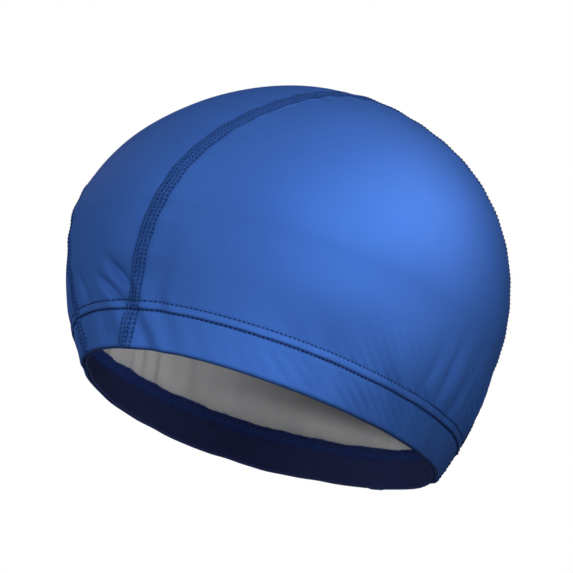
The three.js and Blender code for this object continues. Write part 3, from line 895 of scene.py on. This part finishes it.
def tube_arrays(paths, ups, radii, sides):
    """Tubes along paths, as points and quads: round each path point a ring of a given radius, square to
    the path, whose first point is on the side of the up direction."""
    ahead = np.gradient(paths, axis=1)
    aside = np.cross(ahead, ups)
    aside /= np.linalg.norm(aside, axis=-1, keepdims=True)
    above = np.cross(aside, ahead)
    above /= np.linalg.norm(above, axis=-1, keepdims=True)
    turn = np.linspace(0, 2 * pi, sides, endpoint=False)[:, None]
    ring = np.cos(turn) * above[:, :, None] + np.sin(turn) * aside[:, :, None]
    points = paths[:, :, None] + ring * radii[:, None, None]
    faces = grid_faces(paths.shape[1], sides, wrap_columns=True)
    start = np.arange(len(paths))[:, None, None] * paths.shape[1] * sides
    return points.reshape(-1, 3), (faces[None] + start).reshape(-1, 4)


def make_threads(name, parts, material):
    """Several sets of tubes as one piece."""
    points = np.concatenate([part[0] for part in parts])
    starts = np.cumsum([0] + [len(part[0]) for part in parts[:-1]])
    faces = np.concatenate([part[1] + start for part, start in zip(parts, starts)])
    return make_piece(name, points, faces, [material])


def dashes(arc, length_, radius, place):
    """Short stitches centred at lengths along a line: each rises out of the cloth, lies on it and goes
    down again. place gives worn points and normals for lengths along the line and lifts."""
    t = np.linspace(-0.5, 0.5, 7)
    along = arc[:, None] + t * length_
    lift_ = radius * (0.4 - 2.1 * np.abs(2 * t) ** 3) + np.zeros_like(along)
    points, normals = place(along, lift_)
    return tube_arrays(points, normals, radius * np.array([0, 0.75, 1, 1, 1, 0.75, 0]), 5)


def pointed_wave(phase):
    """A wave of nearly straight flanks: the arc sine of a sine cut a little short, from -1 to 1."""
    return np.arcsin(SWING_CUT * np.sin(phase)) / np.arcsin(SWING_CUT)


def seam_rows(hand):
    """Stitches of one flat seam: four rows of dashes along it."""
    seams = settings("cap_seams")
    total = seam_line()[1][-1]
    count = int(total / seams.pitch)
    arc = (np.arange(count) + 0.5) * total / count
    parts = []
    for row in SEAM_ROWS:
        def place(along, lift_, row=row):
            return on_seam(along, row.aside * seams.half_width, lift_, hand)
        parts.append(dashes(arc, row.dash * seams.pitch, row.weight * seams.thread, place))
    return parts


def seam_cover(hand):
    """Cover threads of one flat seam: between each two rows a thread swings from one to the other and
    back with every stitch, so that they cross the seam as slanting bars."""
    seams = settings("cap_seams")
    total = seam_line()[1][-1]
    count = int(total / seams.pitch)
    t = np.linspace(0, count, count * 12 + 1)
    parts = []
    for number in range(3):
        left, right = (row.aside * seams.half_width for row in SEAM_ROWS[number:number + 2])
        swing = pointed_wave(2 * pi * t + 2.1 * number)
        aside = (left + right) / 2 + swing * (right - left) * 0.42
        lift_ = seams.thread * (0.1 + 0.25 * np.cos(4 * pi * t))
        points, normals = on_seam(t * total / count, aside, lift_, hand)
        radii = np.full(len(t), seams.thread * 0.6)
        radii[[0, -1]] = 0
        parts.append(tube_arrays(points[None], normals[None], radii, 4))
    return parts


def hem_rows():
    """Two rows of stitches round the outside of the hem, the lower one in thicker thread."""
    hem = settings("cap_hem")
    count = int(2 * pi * hem_reach() / hem.pitch)
    place_of = np.arange(count) * 2 * pi / count
    parts = []
    for height, share, shift in ((hem.lower_row, 1.0, 0.0), (hem.lower_row + hem.gauge, 0.72, 0.5)):
        def place(round_, lift_, height=height):
            return on_cloth(hem_points(round_, np.full_like(round_, height)), lift_)
        parts.append(dashes(place_of + shift * 2 * pi / count, 0.68 * 2 * pi / count,
                            hem.thread * share, place))
    return parts


def on_facing(round_, height, back_share, lift_):
    """Worn points on the facing: back_share is 0 on the side that shows and 1 on its back."""
    arcs = seam_line()
    base = hem_points(round_, np.minimum(height, facing_top()))
    normal = outward_at(base)
    back, front = facing_offsets(base, normal, arcs)
    base = dropped(base, np.minimum(facing_top() - height, 0))
    offset = front + (back - front) * back_share - lift_
    return place_cloth(base, normal, offset), as_worn(-normal)


def hem_backs():
    """Underside of the hem stitches: one thread that swings between the two rows, on the facing."""
    hem = settings("cap_hem")
    count = int(2 * pi * hem_reach() / hem.pitch)
    t = np.linspace(0, count, count * 12 + 1)
    height = hem.lower_row + hem.gauge * (0.5 + 0.5 * pointed_wave(2 * pi * t))
    round_ = (t + 0.28 * np.sin(4 * pi * t)) * 2 * pi / count
    points, normals = on_facing(round_, height, 0.0, hem.thread * 0.5)
    return tube_arrays(points[None], normals[None], np.full(len(t), hem.thread * 0.7), 5)


def overlock_loops():
    """Loops over the facing's upper edge: each climbs the side that shows, leaning a little, and goes
    over the edge, and a chain runs along their feet."""
    hem = settings("cap_hem")
    count = overlock_count()
    step = 2 * pi / count
    foot = hem.overlock
    below = np.array([foot, 0.8 * foot, 0.45 * foot, 0.1 * foot, -0.14 * foot, -0.05 * foot, 0.3 * foot])
    back = np.array([0.0, 0.0, 0.0, 0.05, 0.5, 0.95, 1.0])
    lift_ = np.array([-0.2, 0.6, 0.7, 0.6, 0.0, -0.3, -0.2]) * hem.thread
    lean = np.array([0.0, 0.1, 0.3, 0.5, 0.6, 0.7, 0.8]) * step
    random = np.random.default_rng(5)
    jitter = random.normal(0, 0.08, count)[:, None]
    round_ = (np.arange(count)[:, None] + jitter) * step + lean
    height = facing_top() - below + random.normal(0, 0.12, count)[:, None] * MILLIMETRE
    points, normals = on_facing(round_, height, back + 0 * round_, lift_ + 0 * round_)
    loops = tube_arrays(points, normals, hem.thread * 0.8 * np.array([0, 1, 1, 1, 1, 1, 0]), 5)
    t = np.linspace(0, count, count * 8 + 1)
    chain_height = facing_top() - foot + 0.45 * MILLIMETRE * np.sin(2 * pi * t)
    points, normals = on_facing(t * step + 0.3 * step * np.sin(4 * pi * t), chain_height,
                                np.zeros_like(t), np.full_like(t, hem.thread * 0.5))
    chain = tube_arrays(points[None], normals[None], np.full(len(t), hem.thread * 0.7), 5)
    return [loops, chain]


def edge_fuzz():
    """Short loose fibres that stand up from the overlocked edge: each starts just below it and leans
    round by a random angle as it rises to a random height, thinning to a point."""
    random = np.random.default_rng(9)
    foot = random.uniform(-pi, pi, FIBRES)[:, None]
    lean = random.normal(0, 0.006, FIBRES)[:, None]
    round_ = foot + np.array([0, 0.3, 0.7, 1.0]) * lean
    rise = random.uniform(0.4, 1.3, FIBRES)[:, None] * MILLIMETRE
    height = facing_top() + rise * np.array([-0.5, 0.1, 0.6, 1.0])
    points, normals = on_facing(round_, height, 0.35 + 0 * round_, FIBRE_LIFT + 0 * round_)
    return tube_arrays(points, normals, FIBRE_RADIUS * np.array([0.6, 1, 0.8, 0]), 3)


# Materials

def add_node(tree, kind, wires=None, **properties):
    """A shader node with its properties set and its inputs wired or given their values."""
    made = tree.nodes.new(kind)
    for name, value in properties.items():
        setattr(made, name, value)
    for name, value in (wires or {}).items():
        if isinstance(value, bpy.types.NodeSocket):
            tree.links.new(value, made.inputs[name])
        else:
            made.inputs[name].default_value = value
    return made


def new_group(name, inputs, output):
    """An empty node group with float inputs and their defaults, and one output."""
    tree = bpy.data.node_groups.new(name, "ShaderNodeTree")
    for title, value in inputs.items():
        socket = tree.interface.new_socket(title, in_out="INPUT", socket_type="NodeSocketFloat")
        socket.default_value = value
    tree.interface.new_socket(output, in_out="OUTPUT", socket_type="NodeSocketFloat")
    return tree, tree.nodes.new("NodeGroupInput").outputs, tree.nodes.new("NodeGroupOutput").inputs


def soft_line_group():
    """Mask of a soft line: the bell curve of how far a place is from the line's middle."""
    tree, given, result = new_group("Soft Line", {"Place": 0.0, "Middle": 0.0, "Width": 1.0}, "Mask")
    away = add_node(tree, "ShaderNodeMath", {0: given["Place"], 1: given["Middle"]}, operation="SUBTRACT")
    share = add_node(tree, "ShaderNodeMath", {0: away.outputs[0], 1: given["Width"]}, operation="DIVIDE")
    square = add_node(tree, "ShaderNodeMath", {0: share.outputs[0], 1: share.outputs[0]},
                      operation="MULTIPLY")
    minus = add_node(tree, "ShaderNodeMath", {0: square.outputs[0], 1: -1.0}, operation="MULTIPLY")
    bell = add_node(tree, "ShaderNodeMath", {0: minus.outputs[0]}, operation="EXPONENT")
    tree.links.new(bell.outputs[0], result["Mask"])
    return tree


def knit_group():
    """Height of a fine knit: upright ribs of loops, each loop a small hump, with a little fuzz."""
    tree, given, result = new_group("Fine Knit", {"Across": 0.0, "Along": 0.0, "Gauge": 0.42}, "Height")
    parts = []
    for place, stretch in (("Across", 1.0), ("Along", 0.72)):
        turn = add_node(tree, "ShaderNodeMath", {0: given[place], 1: given["Gauge"]}, operation="DIVIDE")
        turn = add_node(tree, "ShaderNodeMath", {0: turn.outputs[0], 1: 2 * pi * stretch},
                        operation="MULTIPLY")
        wave = add_node(tree, "ShaderNodeMath", {0: turn.outputs[0]}, operation="SINE")
        parts.append(wave.outputs[0])
    loops = add_node(tree, "ShaderNodeMath", {0: parts[0], 1: parts[1]}, operation="MULTIPLY")
    place = add_node(tree, "ShaderNodeTexCoord").outputs["Object"]
    fuzz = add_node(tree, "ShaderNodeTexNoise", {"Vector": place, "Scale": 1400.0, "Detail": 2.0})
    total = add_node(tree, "ShaderNodeMath", {0: fuzz.outputs[0], 1: 1.5, 2: loops.outputs[0]},
                     operation="MULTIPLY_ADD")
    tree.links.new(total.outputs[0], result["Height"])
    return tree


def cloud_group():
    """Slow mottling of a dyed cloth, from 0 to 1."""
    tree, given, result = new_group("Slow Cloud", {"Scale": 40.0}, "Mask")
    place = add_node(tree, "ShaderNodeTexCoord").outputs["Object"]
    noise = add_node(tree, "ShaderNodeTexNoise", {"Vector": place, "Scale": given["Scale"],
                                                  "Detail": 3.0, "Roughness": 0.6})
    tree.links.new(noise.outputs[0], result["Mask"])
    return tree


def shared_group(name):
    """A node group that the materials share, made when it is first wanted."""
    makers = {"Soft Line": soft_line_group, "Fine Knit": knit_group, "Slow Cloud": cloud_group}
    return bpy.data.node_groups.get(name) or makers[name]()


def add_group(tree, name, wires):
    """A shared node group's output in a material."""
    return add_node(tree, "ShaderNodeGroup", wires, node_tree=shared_group(name)).outputs[0]


def cloth_material(name, colour, finish, knit, lines=(), clouds=(0.92, 1.06)):
    """Cloth: a colour with slow clouds, darker along soft lines, most of them painted shade in grooves
    and under edges, and the bump of a fine knit. Each line has an axis of the trim map, a middle and a
    width in millimetres, and how dark it is."""
    material = bpy.data.materials.new(name)
    material.use_nodes = True
    tree = material.node_tree
    shader = tree.nodes["Principled BSDF"]
    for title, value in finish.items():
        shader.inputs[title].default_value = value
    cloud = add_group(tree, "Slow Cloud", {"Scale": 45.0})
    shade = add_node(tree, "ShaderNodeMapRange", {"Value": cloud, "To Min": clouds[0],
                                                  "To Max": clouds[1]}).outputs[0]
    if lines:
        trim = add_node(tree, "ShaderNodeUVMap", uv_map="trim").outputs[0]
        trim = add_node(tree, "ShaderNodeSeparateXYZ", {0: trim}).outputs
    # Each line darkens the colour: painted shade where it follows a groove or an edge.
    for axis, middle, width, dark in lines:
        mask = add_group(tree, "Soft Line", {"Place": trim[axis], "Middle": middle, "Width": width})
        keep = add_node(tree, "ShaderNodeMath", {0: mask, 1: -dark, 2: 1.0}, operation="MULTIPLY_ADD")
        shade = add_node(tree, "ShaderNodeMath", {0: shade, 1: keep.outputs[0]},
                         operation="MULTIPLY").outputs[0]
    tinted = add_node(tree, "ShaderNodeVectorMath", {0: (*colour,), "Scale": shade}, operation="SCALE")
    tree.links.new(tinted.outputs[0], shader.inputs["Base Color"])
    weave = add_node(tree, "ShaderNodeUVMap", uv_map="weave").outputs[0]
    weave = add_node(tree, "ShaderNodeSeparateXYZ", {0: weave}).outputs
    height = add_group(tree, "Fine Knit", {"Across": weave[0], "Along": weave[1]})
    bump = add_node(tree, "ShaderNodeBump", {"Height": height, "Strength": knit,
                                             "Distance": 0.05 * MILLIMETRE})
    tree.links.new(bump.outputs[0], shader.inputs["Normal"])
    return material


def thread_material(name, colour, roughness):
    """Thread: an even colour with slight clouds and a soft lustre."""
    material = bpy.data.materials.new(name)
    material.use_nodes = True
    tree = material.node_tree
    shader = tree.nodes["Principled BSDF"]
    shader.inputs["Roughness"].default_value = roughness
    shader.inputs["Specular IOR Level"].default_value = 0.06
    cloud = add_group(tree, "Slow Cloud", {"Scale": 600.0})
    shade = add_node(tree, "ShaderNodeMapRange", {"Value": cloud, "To Min": 0.7, "To Max": 1.3})
    tinted = add_node(tree, "ShaderNodeVectorMath", {0: (*colour,), "Scale": shade.outputs[0]},
                      operation="SCALE")
    tree.links.new(tinted.outputs[0], shader.inputs["Base Color"])
    return material


def panel_materials():
    """Outside and inside of the panels."""
    colours, seams, hem = settings("cap_colours"), settings("cap_seams"), settings("cap_hem")
    upper_row = hem.lower_row + hem.gauge
    # Soft darker lines on the coated face: slightly darker across the seam band, and painted shade in the
    # groove beside the seam's edge, in the grooves of both hem rows and under the rounded hem edge.
    lines = [(0, 0.0, seams.half_width / MILLIMETRE, 0.12),
             (0, seams.half_width / MILLIMETRE, 0.4, 0.3),
             (1, hem.lower_row / MILLIMETRE, 0.6, 0.35), (1, upper_row / MILLIMETRE, 0.45, 0.3),
             (1, 0.0, 0.45, 0.7)]
    outside = cloth_material("coated knit", colours.coat, {
        "Roughness": 0.6, "Metallic": 0.28, "Specular Tint": (0.1, 0.3, 1.0, 1.0)}, 0.25, lines)
    inside = cloth_material("brushed back", colours.back, {"Roughness": 0.9, "Specular IOR Level": 0.2},
                            0.8, clouds=(0.88, 1.1))
    return [outside, inside]


# Stage

def camera_axes():
    """Right, up and backwards of the camera."""
    stage = settings("cap_stage")
    turn, lift_ = stage.azimuth, stage.elevation
    right = np.array([np.cos(turn), np.sin(turn), 0.0])
    toward = np.array([np.sin(turn) * np.cos(lift_), -np.cos(turn) * np.cos(lift_), np.sin(lift_)])
    return right, np.cross(toward, right), toward


def turned_to(place, target):
    """Rotation that faces from a place to a target."""
    return (Vector(target) - Vector(place)).to_track_quat("-Z", "Y").to_euler()


def make_camera():
    """A long lens, so far away that the head opening and the crown fall where they should."""
    stage = settings("cap_stage")
    right, up, toward = camera_axes()
    lens = bpy.data.cameras.new("camera")
    lens.sensor_width = 36.0
    lens.lens = stage.focal_pixels / stage.picture * lens.sensor_width
    camera = bpy.data.objects.new("camera", lens)
    camera.location = toward * stage.distance
    middle = (stage.picture - 1) / 2
    share = stage.distance / stage.focal_pixels
    target = right * (middle - stage.opening_x) * share + up * (stage.opening_y - middle) * share
    camera.rotation_euler = turned_to(camera.location, target)
    bpy.context.scene.collection.objects.link(camera)
    bpy.context.scene.camera = camera


# Lamps. right, up, toward: direction in the camera's axes. aim_right, aim_up: where a spot aims, in
# metres in the same axes. size: a disk's diameter in metres or a spot's cone in degrees. soft: radius
# of a spot's source in metres. power: watts.
Lamp = namedtuple("Lamp", "name kind right up toward aim_right aim_up size soft power")
LAMPS = (
    Lamp("upper left", "AREA", -0.60, 0.60, 0.50, 0.0, 0.0, 0.6, 0.0, 5.6),
    Lamp("left", "AREA", -0.90, 0.10, 0.40, 0.0, 0.0, 0.6, 0.0, 2.6),
    Lamp("behind right", "AREA", 0.60, 0.70, -0.30, 0.0, 0.0, 0.6, 0.0, 1.5),
    Lamp("behind left", "AREA", -0.60, 0.50, -0.60, 0.0, 0.0, 0.6, 0.0, 1.0),
    Lamp("front edge", "SPOT", 0.75, 0.55, 0.35, -0.0535, 0.0976, 5.0, 0.05, 38.8),
    Lamp("key rim", "SPOT", 0.75, 0.55, 0.35, -0.0228, 0.0938, 6.0, 0.15, 76.4),
    Lamp("key", "SPOT", 0.62, 0.36, 0.70, -0.0228, 0.0938, 6.0, 0.15, 318.0),
    Lamp("key back", "SPOT", 0.62, 0.36, 0.70, 0.0541, 0.0784, 5.0, 0.05, 20.8),
    Lamp("back edge", "SPOT", 0.90, 0.45, 0.00, 0.0810, 0.0938, 5.0, 0.05, 70.0),
    Lamp("hem", "SPOT", -0.20, 0.10, 1.00, 0.0233, 0.0207, 4.0, 0.05, 31.6),
    Lamp("mouth", "SPOT", 0.25, -0.12, 0.95, -0.0300, 0.0150, 5.0, 0.05, 34.0),
)


def new_lamp(lamp):
    """One lamp of the table: a wide disk, or a spot with a cone that fades to its edge."""
    data = bpy.data.lights.new(lamp.name, lamp.kind)
    data.energy = lamp.power
    if lamp.kind == "AREA":
        data.shape = "DISK"
        data.size = lamp.size
    else:
        data.spot_size = np.radians(lamp.size)
        data.spot_blend = 1.0
        data.shadow_soft_size = lamp.soft
    return data


def make_lamps():
    """Soft lamps round the camera, and a white background that gives only a dim light."""
    right, up, toward = camera_axes()
    middle = np.array([0.0, 0.03, 0.06])
    for lamp in LAMPS:
        made = bpy.data.objects.new(lamp.name, new_lamp(lamp))
        target = middle
        if lamp.kind == "SPOT":
            target = right * lamp.aim_right + up * lamp.aim_up + toward * LAMP_AIM_TOWARD
        way = right * lamp.right + up * lamp.up + toward * lamp.toward
        made.location = target + way / np.linalg.norm(way) * LAMP_DISTANCE
        made.rotation_euler = turned_to(made.location, target)
        made.visible_camera = False
        bpy.context.scene.collection.objects.link(made)
    world = bpy.data.worlds.new("soft room")
    world.use_nodes = True
    tree = world.node_tree
    ray = add_node(tree, "ShaderNodeLightPath").outputs["Is Camera Ray"]
    strength = add_node(tree, "ShaderNodeMapRange", {"Value": ray, "To Min": ROOM_LIGHT, "To Max": 1.0})
    tree.nodes["Background"].inputs["Color"].default_value = (1.0, 1.0, 1.0, 1.0)
    tree.links.new(strength.outputs[0], tree.nodes["Background"].inputs["Strength"])
    bpy.context.scene.world = world


def make_floor():
    """A pale floor under the cap."""
    stage = settings("cap_stage")
    half, low = 1.2, -stage.floor_drop
    mesh = bpy.data.meshes.new("floor")
    corners = [(-half, -half, low), (half, -half, low), (half, half, low), (-half, half, low)]
    mesh.from_pydata(corners, [], [(0, 1, 2, 3)])
    material = bpy.data.materials.new("pale floor")
    material.use_nodes = True
    material.node_tree.nodes["Principled BSDF"].inputs["Base Color"].default_value = (0.8, 0.8, 0.8, 1)
    mesh.materials.append(material)
    floor = bpy.data.objects.new("floor", mesh)
    bpy.context.scene.collection.objects.link(floor)


# Operators and the panel

class CAP_OT_panels(bpy.types.Operator):
    """Build the middle strip and the two side panels of coated knit"""

    bl_idname = "swimcap.panels"
    bl_label = "Build Panels"

    def execute(self, context):
        materials = panel_materials()
        center = make_center_panel("center_cloth", materials)
        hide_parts("center_panel")
        for side, hand in (("left", 1), ("right", -1)):
            panel = make_side_panel(f"{side}_side_cloth", hand, materials)
            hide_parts(f"{side}_side_panel")
        return {"FINISHED"}


class CAP_OT_facing(bpy.types.Operator):
    """Build the navy facing inside the hem"""

    bl_idname = "swimcap.facing"
    bl_label = "Build Facing"

    def execute(self, context):
        colours = settings("cap_colours")
        material = cloth_material("navy knit", colours.facing, {
            "Roughness": 0.95, "Specular IOR Level": 0.12}, 1.0)
        facing = make_facing("hem_facing_cloth", material)
        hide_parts("inner_hem_band")
        return {"FINISHED"}


class CAP_OT_seam_threads(bpy.types.Operator):
    """Sew the two flat seams"""

    bl_idname = "swimcap.seam_threads"
    bl_label = "Sew Seams"

    def execute(self, context):
        colours = settings("cap_colours")
        # The needle thread's dark navy is partly painted shade of the needle holes.
        needle = thread_material("needle thread", colours.needle_thread_and_hole_shade, 0.6)
        cover = thread_material("cover thread", colours.cover_thread, 0.6)
        for side, hand in (("left", 1), ("right", -1)):
            make_threads(f"{side}_seam_stitches", seam_rows(hand), needle)
            make_threads(f"{side}_seam_cover", seam_cover(hand), cover)
        return {"FINISHED"}


class CAP_OT_hem_threads(bpy.types.Operator):
    """Sew the hem and neaten the facing's edge"""

    bl_idname = "swimcap.hem_threads"
    bl_label = "Sew Hem"

    def execute(self, context):
        colours = settings("cap_colours")
        # The hem thread's dark navy is partly painted shade of the stitching grooves.
        thread = thread_material("hem thread", colours.hem_thread_and_groove_shade, 0.6)
        loops = thread_material("overlock thread", colours.overlock, 0.7)
        make_threads("hem_stitches", hem_rows(), thread)
        make_threads("hem_stitch_backs", [hem_backs()], loops)
        make_threads("overlock_loops", overlock_loops(), loops)
        fuzz = thread_material("loose fibres", colours.fuzz, 0.8)
        make_threads("overlock_fuzz", [edge_fuzz()], fuzz)
        return {"FINISHED"}


class CAP_OT_stage(bpy.types.Operator):
    """Set up the camera, the lamps, the background and the floor"""

    bl_idname = "swimcap.stage"
    bl_label = "Set Up Stage"

    def execute(self, context):
        make_camera()
        make_lamps()
        make_floor()
        context.scene.view_settings.view_transform = "Standard"
        return {"FINISHED"}


class CAP_PT_sidebar(bpy.types.Panel):
    """Steps and sizes of the swim cap"""

    bl_idname = "CAP_PT_sidebar"
    bl_label = "Swim Cap"
    bl_space_type = "VIEW_3D"
    bl_region_type = "UI"
    bl_category = "Swim Cap"

    def draw(self, context):
        for step in STEPS:
            self.layout.operator(step.bl_idname)
        for name, group in SETTINGS.items():
            box = self.layout.box()
            for field in group.__annotations__:
                box.prop(getattr(context.scene, name), field)


STEPS = (CAP_OT_stage, CAP_OT_panels, CAP_OT_facing, CAP_OT_seam_threads, CAP_OT_hem_threads)


def register():
    for group in (*SETTINGS.values(), *STEPS, CAP_PT_sidebar):
        bpy.utils.register_class(group)
    for name, group in SETTINGS.items():
        setattr(bpy.types.Scene, name, PointerProperty(type=group))


def unregister():
    for name in SETTINGS:
        delattr(bpy.types.Scene, name)
    for group in (CAP_PT_sidebar, *reversed(STEPS), *SETTINGS.values()):
        bpy.utils.unregister_class(group)


def main():
    """Builds the cap and its stage."""
    register()
    for step in STEPS:
        getattr(bpy.ops.swimcap, step.bl_idname.split(".")[1])()


if __name__ == "__main__":
    main()
